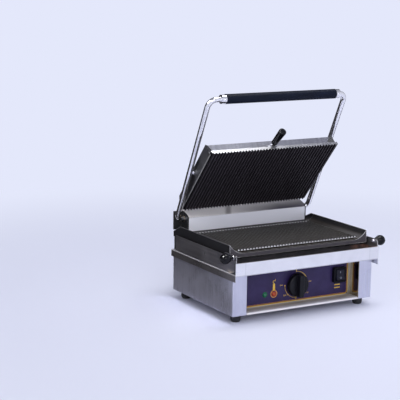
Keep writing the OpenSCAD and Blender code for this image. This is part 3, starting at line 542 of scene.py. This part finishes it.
def upper_heights(t):
    """Tips and grooves of the upper ribs."""
    up = above_ribs(t)
    tip = t.spread(up, 0.0002, 0.0010, 1.0, 0.0)
    deep = t.spread(up, 0.0014, 0.0032)
    return tip, t.math("MULTIPLY", deep, t.spread(t.facing(PLATE_FRONT), 0.9, 0.97, 1.0, 0.0))


def machined_upper_face(t):
    """The upper casting's front face, ground flat, bright at the left and duller towards the right as a
    painted reflection.
    """
    where = t.spread(t.facing(PLATE_FRONT), 0.9, 0.97)
    return where, t.mix(t.spread(t.axis("X"), -0.17, 0.14), (0.86, 0.86, 0.88), (0.30, 0.30, 0.33)), 1.0


def corner_along(name, direction):
    """Lowest distance of a node's own corners along a direction."""
    return min(Vector(direction).dot(nodes[name].matrix_world @ v.co) for v in nodes[name].data.vertices)


casting_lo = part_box("lower_plate")[0]
RIBS = (casting_lo.y + 8.6 * MM, casting_lo.y + 228.2 * MM)
TIP_Z = casting_lo.z + 17.7 * MM
PLATE_FACE = corner_along("upper_plate", (0, math.sin(TILT), math.cos(TILT)))

finish = {
    "steel_x": brushed_steel("finish_steel_x", (0.70, 0.70, 0.73), 0.30, "X"),
    "steel_y": brushed_steel("finish_steel_y", (0.64, 0.64, 0.67), 0.30, "Y"),
    "steel_z": brushed_steel("finish_steel_z", (0.66, 0.66, 0.69), 0.32, "Z"),
    "sill": brushed_steel("finish_sill", (0.74, 0.73, 0.73), 0.42, "X", 0.05, 0.12, 0.0006, sill_grading),
    "hinge_cover": brushed_steel("finish_hinge_cover", (0.80, 0.78, 0.77), 0.55, "X", 0.04, 0.08, 0.0006,
                                 hinge_cover_tone_and_shade),
    "hinge_front": brushed_steel("finish_hinge_front", (0.88, 0.88, 0.93), 0.58, "X", 0.04, 0.05, 0.0016,
                                 satin_hinge_front_highlight),
    "deck": brushed_steel("finish_deck", (0.70, 0.70, 0.73), 0.30, "X", 0.05, 0.08, 0.0006, deck_painted_light),
    "cover": cover_steel(),
    # The wings' dark tint is painted shade on their sides.
    "wing": brushed_steel("finish_tray_wing", (0.27, 0.26, 0.28), 0.34, "Y", 0.06, 0.16, 0.0006, wing_painted_light),
    "dark_steel": brushed_steel("finish_dark_steel", (0.30, 0.29, 0.30), 0.38, "X", 0.06, 0.2),
    "inner": brushed_steel("finish_inner_steel", (0.52, 0.50, 0.48), 0.42, "X", 0.06, 0.2),
    "column": column_steel(),
    "tray": tray_steel(),
    "panel": panel_film(),
    # Lower ribs: tips darker and grooves paler, painted light that evens out their shading. Upper ribs: tips
    # paler, partly wear and partly painted highlight; grooves darker, painted shade.
    "lower_iron": iron_finish("finish_lower_casting", (0.022, 0.018, 0.014), lower_heights, 0.85, 1.2,
                              machined_rib_ends, lower_shades, lower_edges, 0.0024),
    "upper_iron": iron_finish("finish_upper_casting", (0.018, 0.015, 0.018), upper_heights, 2.1, 0.5,
                              machined_upper_face, None, upper_edges, 0.0006),
    "chrome": chrome_finish("finish_chrome"),
    "zinc": chrome_finish("finish_zinc", (0.62, 0.62, 0.64), 0.28),
    "spring": chrome_finish("finish_spring_steel", (0.30, 0.30, 0.33), 0.30),
    "brass": chrome_finish("finish_bush_bronze", (0.20, 0.15, 0.10), 0.38),
    "sheath": brushed_steel("finish_element_sheath", (0.22, 0.20, 0.19), 0.45, "X", 0.05, 0.3),
    "rubber": moulded("finish_foot_rubber", (0.018, 0.018, 0.019), 0.70, 0.5),
    "knob": moulded("finish_knob_plastic", (0.005, 0.005, 0.008), 0.36, 0.2, 0.0008, 0.24),
    "ball": moulded("finish_ball_knob", (0.003, 0.003, 0.005), 0.12, 0.0, 0.0, 0.22),
    "switch": moulded("finish_switch_plastic", (0.004, 0.004, 0.007), 0.34, 0.15, 0.0006, 0.12),
    "rocker": moulded("finish_rocker_plastic", (0.007, 0.007, 0.017), 0.34, 0.15, 0.0006, 0.25),
    "grip_black": moulded("finish_handle_plastic", (0.003, 0.003, 0.005), 0.14, 0.0, 0.0, 0.28),
    "terminal": moulded("finish_terminal_plastic", (0.62, 0.60, 0.54), 0.45, 0.2),
    "black_paint": painted("finish_black_paint", (0.013, 0.013, 0.015), 0.40),
    "sleeve": sleeve_rubber(),
    "green": lamp_lens("finish_lamp_green", (0.0, 0.16, 0.07), 0.12),
    "orange": lamp_lens("finish_lamp_orange", (0.52, 0.075, 0.02), 0.15),
    "gold_ink": print_ink("finish_gold_ink", (0.95, 0.60, 0.055)),
    "amber_ink": print_ink("finish_amber_ink", (0.85, 0.34, 0.03)),
    "white_ink": print_ink("finish_white_ink", (0.34, 0.37, 0.44)),
}

WEARS = {
    "base_plate": "sill", "side_panel_left": "column", "side_panel_right": "column",
    "back_panel": "steel_z", "deck": "deck", "control_panel": "panel", "feet": "rubber",
    "foot_screws": "zinc", "pilot_lamp_green": "green", "pilot_lamp_orange": "orange",
    "thermostat_body": "zinc", "dial_shaft": "zinc", "thermostat_knob": "knob",
    "switch_housing": "switch", "rocker": "rocker", "terminal_block": "terminal",
    "cable_gland": "knob", "rear_riser": "black_paint", "casting_spacers": "zinc",
    "heat_shield": "inner", "wire_conduit": "inner", "lower_plate": "lower_iron",
    "lower_element": "sheath", "lower_press_plate": "inner", "lower_press_studs": "zinc",
    "hinge_cheek_left": "black_paint", "hinge_cheek_right": "black_paint", "hinge_bushes": "brass",
    "hinge_cover": "hinge_cover", "hinge_front_plate": "hinge_front", "spring_anchor": "dark_steel",
    "torsion_spring_left": "spring", "torsion_spring_right": "spring", "drip_tray": "tray",
    "tray_wing_left": "wing", "tray_wing_right": "wing", "tray_knob_left": "ball",
    "tray_knob_right": "ball", "tray_knob_necks": "chrome", "handle_frame": "chrome",
    "hinge_shaft": "dark_steel", "grip_sleeve": "sleeve", "grip_collars": "chrome",
    "plate_pivot_pins": "chrome", "upper_plate": "upper_iron", "upper_cover": "cover",
    "pivot_brackets": "chrome", "upper_element": "sheath", "upper_press_plate": "inner",
    "upper_press_studs": "zinc", "cover_screws": "zinc", "aux_handle_ferrule": "chrome",
    "aux_handle_grip": "grip_black",
}
for name, obj in nodes.items():
    obj.data.materials.clear()
    obj.data.materials.append(finish[WEARS.get(name, "steel_x")])


# ---------------------------------------------------------------- printed panel

panel_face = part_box("control_panel")[0].y
base_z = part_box("feet")[1].z
ink_lift = 0.06 * MM
ink_depth = 0.04 * MM
NUMBER_HEIGHT = 4.6 * MM
NUMBER_WIDENING = 1.35


def add_piece(name, mesh, material, body):
    """A named piece with its finish, carried by a body."""
    obj = bpy.data.objects.new(name, mesh)
    scene.collection.objects.link(obj)
    obj.data.materials.append(finish[material])
    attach(obj, body)
    return obj


def ink_slab(name, loops, y):
    """A mesh of flat ink shapes at a depth y. Each loop is a closed list of (x, z) in metres."""
    bm = bmesh.new()
    for loop in loops:
        front = [bm.verts.new((x, y, z)) for x, z in loop]
        back = [bm.verts.new((x, y + ink_depth, z)) for x, z in loop]
        bm.faces.new(front)
        bm.faces.new(back[::-1])
        for i in range(len(loop)):
            j = (i + 1) % len(loop)
            bm.faces.new((front[j], front[i], back[i], back[j]))
    bmesh.ops.recalc_face_normals(bm, faces=bm.faces)
    mesh = bpy.data.meshes.new(name)
    bm.to_mesh(mesh)
    bm.free()
    return mesh


def ink_mesh(name, loops, material="gold_ink"):
    """Flat ink shapes on the panel, facing the user."""
    return add_piece(name, ink_slab(name, loops, panel_face - ink_lift), material, "base")


def stroke(points, width, closed=False):
    """Quads that follow a line of (x, z) points, as a list of loops."""
    count = len(points)
    sides = []
    for i, (x, z) in enumerate(points):
        before = points[(i - 1) % count] if closed or i else points[i]
        after = points[(i + 1) % count] if closed or i < count - 1 else points[i]
        dx, dz = after[0] - before[0], after[1] - before[1]
        length = math.hypot(dx, dz) or 1.0
        w = width[i] if hasattr(width, "__len__") else width
        nx, nz = -dz / length * w / 2, dx / length * w / 2
        sides.append(((x + nx, z + nz), (x - nx, z - nz)))
    last = count if closed else count - 1
    return [[sides[i][0], sides[(i + 1) % count][0], sides[(i + 1) % count][1], sides[i][1]]
            for i in range(last)]


def arc(cx, cz, r, start, end, steps):
    """Points round a centre, angles in degrees clockwise from the top as the user sees it."""
    turns = [math.radians(start + (end - start) * i / steps) for i in range(steps + 1)]
    return [(cx + r * math.sin(a), cz + r * math.cos(a)) for a in turns]


def disc(cx, cz, r, steps):
    """A closed round loop."""
    return arc(cx, cz, r, 0, 360, steps)[:-1]


def spot(cx, cz, r, angle):
    """One point at an angle round a centre."""
    return arc(cx, cz, r, angle, angle + 1, 1)[0]


def number(text, x, z):
    """A plain number standing on the panel, made of the font's outlines."""
    curve = bpy.data.curves.new("number_" + text, "FONT")
    curve.body = text
    curve.size = NUMBER_HEIGHT
    curve.extrude = ink_depth / 2
    curve.align_x = "CENTER"
    curve.align_y = "CENTER"
    curve.resolution_u = 3
    holder = bpy.data.objects.new("number_holder", curve)
    scene.collection.objects.link(holder)
    bpy.context.view_layer.update()
    mesh = bpy.data.meshes.new_from_object(holder)
    bpy.data.objects.remove(holder)
    bpy.data.curves.remove(curve)
    mesh.transform(Matrix.Translation((x, panel_face - ink_lift, z)) @ Matrix.Rotation(math.pi / 2, 4, "X")
                   @ Matrix.Diagonal((NUMBER_WIDENING, 1, 1, 1)))
    mesh.materials.clear()
    return add_piece("dial_number_" + text, mesh, "gold_ink", "base")


def panel_graphics():
    """Border, dial scale and numbers, lamp pictogram and switch bars, printed on the panel."""
    left, right = -160.6 * MM, 160.6 * MM
    low, high = base_z + 7.7 * MM, base_z + 103 * MM
    r = 9 * MM

    def rounded_loop(inset):
        loop = []
        for cx, cz, a in ((right - r, high - r, 0), (right - r, low + r, 90),
                          (left + r, low + r, 180), (left + r, high - r, 270)):
            loop += arc(cx, cz, r - inset, a, a + 90, 8)
        return loop

    ink_mesh("panel_border", stroke(rounded_loop(0), 2.0 * MM, closed=True))
    inner = stroke(rounded_loop(2.9 * MM), 0.8 * MM, closed=True)
    ink_mesh("panel_inner_border", inner, material="amber_ink")

    knob_lo, knob_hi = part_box("thermostat_knob")
    cx, cz = (knob_lo.x + knob_hi.x) / 2, (knob_lo.z + knob_hi.z) / 2
    ring = (knob_hi.x - knob_lo.x) / 2 + 3.5 * MM
    wedge = arc(cx, cz, ring, 2, 66, 26)
    marks = stroke(wedge, [(0.7 + 1.3 * i / 26) * MM for i in range(27)])
    marks += stroke(arc(cx, cz, ring, 182, 268, 26), 1.0 * MM)
    for a in (180, 225, 270):
        px, pz = spot(cx, cz, ring, a)
        marks.append(disc(px, pz, 1.9 * MM, 14))
    marks += stroke([spot(cx, cz, ring - 1.5 * MM, 0), spot(cx, cz, ring + 10 * MM, 0)], 1.8 * MM)
    marks += stroke([spot(cx, cz, ring, 180), spot(cx, cz, ring + 5 * MM, 180)], 1.4 * MM)
    ink_mesh("dial_scale", marks)
    number("300", cx - 45 * MM, cz + 2.5 * MM)
    number("250", cx - 34 * MM, cz - 25 * MM)
    number("100", cx + 42 * MM, cz + 3 * MM)
    number("150", cx + 34 * MM, cz - 25.5 * MM)

    lamp_lo, lamp_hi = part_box("pilot_lamp_orange")
    lx, lz = (lamp_lo.x + lamp_hi.x) / 2, (lamp_lo.z + lamp_hi.z) / 2
    ring_r = 9 * MM
    ink_mesh("lamp_ring", stroke(disc(lx, lz, ring_r, 40), 2.0 * MM, closed=True), material="amber_ink")
    stem = [(lx - 3.4 * MM, lz + ring_r), (lx + 3.4 * MM, lz + ring_r), (lx + 3.0 * MM, lz + 25 * MM),
            (lx, lz + 28 * MM), (lx - 3.0 * MM, lz + 25 * MM)]
    icon = [stem]
    icon += stroke(arc(lx, lz + 31 * MM, 3.2 * MM, 200, 420, 12), 1.3 * MM)
    icon += stroke([(lx + 2.6 * MM, lz + 33 * MM), (lx + 4.6 * MM, lz + 37.5 * MM)], 1.3 * MM)
    ink_mesh("lamp_thermometer", icon)

    rock_lo, rock_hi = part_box("rocker")
    sx, sz = (rock_lo.x + rock_hi.x) / 2, (rock_lo.z + rock_hi.z) / 2
    bars = [stroke([(sx - 11 * MM, z), (sx + 6 * MM, z)], 2.6 * MM)[0]
            for z in (sz - 27.0 * MM, sz - 34.8 * MM)]
    ink_mesh("switch_bars", bars)


panel_graphics()


# ---------------------------------------------------------------- switch marks

def switch_marks():
    """I and O moulded in white into the two halves of the rocker's faces."""
    lo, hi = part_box("rocker")
    cx = (lo.x + hi.x) / 2
    pivot_z = base_z + 61.5 * MM
    turned = (Matrix.Translation((0, panel_face - 4 * MM, pivot_z))
              @ Matrix.Rotation(math.radians(-8), 4, "X"))

    def face_mark(name, loops, tilt):
        mesh = ink_slab(name, loops, 0.0)
        # The finger faces start 6.5 mm ahead of the pivot and lean 8 degrees each way.
        lean = Matrix.Translation((cx, -6.5 * MM, 0)) @ Matrix.Rotation(math.radians(tilt), 4, "X")
        mesh.transform(turned @ lean @ Matrix.Translation((0, -0.08 * MM, 0)))
        add_piece(name, mesh, "white_ink", "power_rocker")

    face_mark("switch_mark_on", stroke([(0, 4.6 * MM), (0, 9.6 * MM)], 1.3 * MM), 8)
    face_mark("switch_mark_off", stroke(disc(0, -8 * MM, 2.1 * MM, 24), 0.8 * MM, closed=True), -8)


switch_marks()


# ---------------------------------------------------------------- floor, world, lights

PALE = (0.776, 0.807, 0.965)
CARD = (0.06, 0.058, 0.07)


def floor():
    """A pale floor that fades into the background away from the object."""
    bm = bmesh.new()
    rings, sides = 40, 96
    centre = bm.verts.new((0, 0, 0))
    last = None
    for i in range(1, rings + 1):
        r = 0.12 * i + 40.0 * (i / rings) ** 4
        turns = [2 * math.pi * j / sides for j in range(sides)]
        ring = [bm.verts.new((r * math.cos(a), r * math.sin(a), 0)) for a in turns]
        for j in range(sides):
            k = (j + 1) % sides
            if last is None:
                bm.faces.new((centre, ring[j], ring[k]))
            else:
                bm.faces.new((last[j], ring[j], ring[k], last[k]))
        last = ring
    mesh = bpy.data.meshes.new("studio_floor")
    bm.to_mesh(mesh)
    bm.free()
    obj = bpy.data.objects.new("studio_floor", mesh)
    scene.collection.objects.link(obj)
    material = bpy.data.materials.new("studio_floor")
    material.use_nodes = True
    tree = material.node_tree
    tree.nodes.clear()
    link = tree.links.new
    diffuse = tree.nodes.new("ShaderNodeBsdfDiffuse")
    diffuse.inputs[0].default_value = (0.80, 0.82, 0.95, 1)
    glow = tree.nodes.new("ShaderNodeEmission")
    glow.inputs[0].default_value = (*PALE, 1)
    glow.inputs[1].default_value = 1.0
    coord = tree.nodes.new("ShaderNodeTexCoord")
    length = tree.nodes.new("ShaderNodeVectorMath")
    length.operation = "LENGTH"
    link(coord.outputs["Object"], length.inputs[0])
    fade = tree.nodes.new("ShaderNodeMapRange")
    fade.interpolation_type = "SMOOTHSTEP"
    for i, v in enumerate((0.5, 1.8, 0.0, 1.0)):
        fade.inputs[i + 1].default_value = v
    link(length.outputs["Value"], fade.inputs[0])
    mix = tree.nodes.new("ShaderNodeMixShader")
    link(fade.outputs[0], mix.inputs[0])
    link(diffuse.outputs[0], mix.inputs[1])
    link(glow.outputs[0], mix.inputs[2])
    output = tree.nodes.new("ShaderNodeOutputMaterial")
    link(mix.outputs[0], output.inputs[0])
    obj.data.materials.append(material)


def world():
    """A pale room, darker overhead and behind on the left. The camera itself sees a plain backdrop."""
    made = bpy.data.worlds.new("studio")
    scene.world = made
    made.use_nodes = True
    tree = made.node_tree
    tree.nodes.clear()
    link = tree.links.new

    def toward(direction, low, high):
        coord = tree.nodes.new("ShaderNodeTexCoord")
        dot = tree.nodes.new("ShaderNodeVectorMath")
        dot.operation = "DOT_PRODUCT"
        link(coord.outputs["Generated"], dot.inputs[0])
        dot.inputs[1].default_value = Vector(direction).normalized()
        ramp = tree.nodes.new("ShaderNodeMapRange")
        ramp.interpolation_type = "SMOOTHSTEP"
        for i, v in enumerate((low, high, 0.0, 1.0)):
            ramp.inputs[i + 1].default_value = v
        link(dot.outputs["Value"], ramp.inputs[0])
        return ramp.outputs[0]

    def blend(share, a, b):
        node = tree.nodes.new("ShaderNodeMix")
        node.data_type = "RGBA"
        link(share, node.inputs[0])
        for i, v in ((6, a), (7, b)):
            if isinstance(v, bpy.types.NodeSocket):
                link(v, node.inputs[i])
            else:
                node.inputs[i].default_value = (*v, 1)
        return node.outputs[2]

    room = blend(toward((0, 0, 1), 0.25, 0.95), (0.78, 0.80, 0.92), (0.34, 0.35, 0.40))
    room = blend(toward((-0.5, 0.85, 0.0), 0.35, 0.9), room, (0.16, 0.155, 0.165))
    path = tree.nodes.new("ShaderNodeLightPath")
    shown = blend(path.outputs["Is Camera Ray"], room, PALE)
    background = tree.nodes.new("ShaderNodeBackground")
    link(shown, background.inputs[0])
    background.inputs[1].default_value = 1.0
    output = tree.nodes.new("ShaderNodeOutputWorld")
    link(background.outputs[0], output.inputs[0])


def softbox(name, at, aim, width, height, watts):
    """A rectangular lamp aimed at a point."""
    data = bpy.data.lights.new(name, "AREA")
    data.shape = "RECTANGLE"
    data.size, data.size_y = width, height
    data.energy = watts
    obj = bpy.data.objects.new(name, data)
    obj.location = at
    obj.rotation_mode = "QUATERNION"
    obj.rotation_quaternion = (Vector(aim) - Vector(at)).to_track_quat("-Z", "Y")
    scene.collection.objects.link(obj)


def spark(name, at, aim, size, watts):
    """A small lamp that only reflections see: the window highlights on the glossy knobs."""
    softbox(name, at, aim, size, size, watts)
    lamp = bpy.data.objects[name]
    lamp.visible_diffuse = False
    lamp.visible_transmission = False


def flag(name, corners, shade):
    """A dark card that only reflections see, beside and behind the object."""
    bm = bmesh.new()
    grid = 8
    a, b, c, d = (Vector(p) for p in corners)
    points = [[bm.verts.new(a.lerp(b, i / grid).lerp(d.lerp(c, i / grid), j / grid)) for i in range(grid + 1)]
              for j in range(grid + 1)]
    for j in range(grid):
        for i in range(grid):
            bm.faces.new((points[j][i], points[j][i + 1], points[j + 1][i + 1], points[j + 1][i]))
    mesh = bpy.data.meshes.new(name)
    bm.to_mesh(mesh)
    bm.free()
    obj = bpy.data.objects.new(name, mesh)
    scene.collection.objects.link(obj)
    material = bpy.data.materials.new(name)
    material.use_nodes = True
    tree = material.node_tree
    tree.nodes.clear()
    glow = tree.nodes.new("ShaderNodeEmission")
    glow.inputs[0].default_value = (*shade, 1)
    output = tree.nodes.new("ShaderNodeOutputMaterial")
    tree.links.new(glow.outputs[0], output.inputs[0])
    obj.data.materials.append(material)
    obj.visible_camera = False
    obj.visible_diffuse = False
    obj.visible_shadow = False
    obj.visible_transmission = False


floor()
world()
softbox("top_light", (0.35, -0.15, 2.3), (0.05, 0.0, 0.25), 1.15, 1.0, 26)
softbox("front_light", (-0.9, -2.6, 1.5), (0, 0, 0.2), 1.4, 1.2, 14)
spark("window_light", (-0.97, -0.10, 1.06), (-0.1, -0.15, 0.1), 0.42, 40)
flag("dark_card", ((-0.40, 0.10, 0.0), (-0.40, 1.1, 0.0), (-0.40, 1.1, 0.75), (-0.40, 0.10, 0.75)),
     (0.045, 0.043, 0.047))
flag("back_card", ((-1.0, 1.2, 0.0), (1.6, 1.2, 0.0), (1.6, 1.2, 0.52), (-1.0, 1.2, 0.52)), CARD)
flag("high_card", ((-1.0, 1.2, 1.15), (2.0, 1.2, 1.15), (2.0, 1.2, 2.4), (-1.0, 1.2, 2.4)), CARD)
flag("far_right_card", ((0.70, 1.2, 0.52), (1.6, 1.2, 0.52), (1.6, 1.2, 1.15), (0.70, 1.2, 1.15)), CARD)
flag("side_right_card", ((1.6, 0.45, 0.1), (1.6, 1.2, 0.1), (1.6, 1.2, 1.3), (1.6, 0.45, 1.3)), CARD)
flag("right_card", ((0.62, -0.1, 0.002), (1.4, -0.1, 0.002), (1.4, 1.0, 0.002), (0.62, 1.0, 0.002)),
     (0.08, 0.078, 0.09))
flag("low_card", ((-0.40, -0.10, 0.002), (-0.235, -0.10, 0.002), (-0.235, 0.7, 0.002), (-0.40, 0.7, 0.002)),
     (0.15, 0.146, 0.165))


# ---------------------------------------------------------------- camera

CAMERA_AT = (-1.7633, -2.7023, 0.8734)
CAMERA_TURN = (29.73, 10.667, -0.682)
CAMERA_LENS = 113.81


def camera():
    """The camera, from its place and its yaw, pitch and roll in degrees."""
    yaw, pitch, roll = (math.radians(a) for a in CAMERA_TURN)
    ahead = Vector((math.sin(yaw) * math.cos(pitch), math.cos(yaw) * math.cos(pitch), -math.sin(pitch)))
    level = Vector((math.cos(yaw), -math.sin(yaw), 0))
    down = ahead.cross(level)
    right = math.cos(roll) * level + math.sin(roll) * down
    below = -math.sin(roll) * level + math.cos(roll) * down
    data = bpy.data.cameras.new("camera")
    data.sensor_width = 36
    data.lens = CAMERA_LENS
    obj = bpy.data.objects.new("camera", data)
    turn = Matrix((right, -below, -ahead)).transposed()
    obj.matrix_world = Matrix.Translation(CAMERA_AT) @ turn.to_4x4()
    scene.collection.objects.link(obj)
    scene.camera = obj


camera()
scene.view_settings.view_transform = "Standard"
